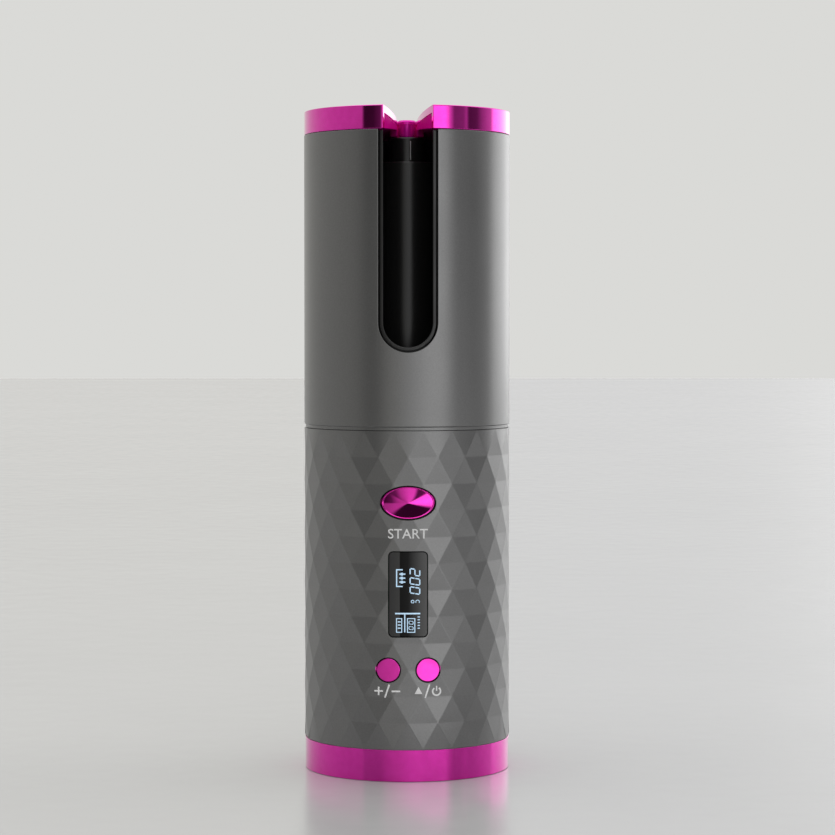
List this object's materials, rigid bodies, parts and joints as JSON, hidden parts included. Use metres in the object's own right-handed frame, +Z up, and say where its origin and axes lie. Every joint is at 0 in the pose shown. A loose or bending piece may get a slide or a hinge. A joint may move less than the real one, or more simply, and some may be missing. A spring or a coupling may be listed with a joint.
{
  "type": "automatic hair curler",
  "caption": "Cordless upright hair curler: faceted handle with display and keys below a slotted chamber whose geared rotor winds hair on a fixed heated barrel.",
  "frame": {"origin": "centre of the round foot, on the table", "axes": "+Z up along the body's long axis; the hair slot, display and keys face -Y; +X is to the right when seen from the front"},
  "size_m": [0.064, 0.064, 0.204],
  "materials": {
    "magenta_chrome": "mirror-bright magenta plating on plastic",
    "satin_grey": "satin metallic dark grey paint",
    "black_liner": "satin black",
    "dark_plastic": "fine grained",
    "black_component": "moulded black",
    "display_glass": "polished smoked lens",
    "thermal_glass": "glass bead",
    "foot_rubber": "matte",
    "ceramic_barrel": "satin black ceramic coating",
    "wire_sleeve": "silicone insulation",
    "heater_ceramic": "insulated ceramic heating plate",
    "aluminium": "as extruded",
    "steel": "nickel plated",
    "circuit_board": "solder mask with fitted components",
    "white_acetal": "moulded natural acetal",
    "cell_wrap": "blue shrink wrap"
  },
  "bodies": {
    "body": {"base_ring": "magenta_chrome", "top_cap": "magenta_chrome", "barrel_tip": "magenta_chrome", "handle_shell": "satin_grey", "upper_housing": "satin_grey", "slot_liner": "black_liner", "chamber_floor": "black_liner", "tip_insulator": "black_liner", "base_plate": "dark_plastic", "chassis_tray": "dark_plastic", "deck_plate": "dark_plastic", "barrel_mount": "dark_plastic", "display_holder": "dark_plastic", "start_switch": "black_component", "temperature_switch": "black_component", "power_switch": "black_component", "display_panel": "black_component", "home_sensor": "black_component", "display_window": "display_glass", "thermal_sensor": "thermal_glass", "rubber_foot": "foot_rubber", "barrel_tube": "ceramic_barrel", "heater_plate": "heater_ceramic", "heater_lead_1": "wire_sleeve", "heater_lead_2": "wire_sleeve", "sensor_lead": "wire_sleeve", "gearbox_case": "aluminium", "heat_spreader_front": "aluminium", "heat_spreader_rear": "aluminium", "base_screw_1": "steel", "base_screw_2": "steel", "base_screw_3": "steel", "charge_port": "steel", "battery_contact_bottom": "steel", "battery_contact_top": "steel", "motor_can": "steel", "motor_screw_1": "steel", "motor_screw_2": "steel", "mount_screw_1": "steel", "mount_screw_2": "steel", "mount_screw_3": "steel", "charge_board": "circuit_board", "control_board": "circuit_board", "rotor_bearing": "white_acetal", "battery_cell_left": "cell_wrap", "battery_cell_right": "cell_wrap"},
    "rotor": {"rotor_claw": "magenta_chrome", "rotor_sleeve": "black_liner", "ring_gear": "white_acetal", "home_magnet": "steel"},
    "pinion": {"drive_pinion": "white_acetal", "pinion_shaft": "steel"},
    "start_key": {"start_button": "magenta_chrome"},
    "temperature_key": {"temperature_button": "magenta_chrome"},
    "power_key": {"power_button": "magenta_chrome"}
  },
  "joints": [
    {"name": "rotor_spin", "type": "hinge", "parent": "body", "child": "rotor", "pos_m": [0, 0, 0.114], "axis": [0, 0, 1], "continuous": true},
    {"name": "pinion_spin", "type": "hinge", "parent": "body", "child": "pinion", "pos_m": [0, 0.01688, 0.114], "axis": [0, 0, 1], "continuous": true},
    {"name": "start_press", "type": "slide", "parent": "body", "child": "start_key", "axis": [0, 1, 0], "range_m": [0, 0.0007], "stiffness_N_per_m": 600},
    {"name": "temperature_press", "type": "slide", "parent": "body", "child": "temperature_key", "axis": [0, 1, 0], "range_m": [0, 0.0007], "stiffness_N_per_m": 600},
    {"name": "power_press", "type": "slide", "parent": "body", "child": "power_key", "axis": [0, 1, 0], "range_m": [0, 0.0007], "stiffness_N_per_m": 600}
  ],
  "couplings": [
    {"joint": "pinion_spin", "follows": "rotor_spin", "ratio": 4}
  ]
}
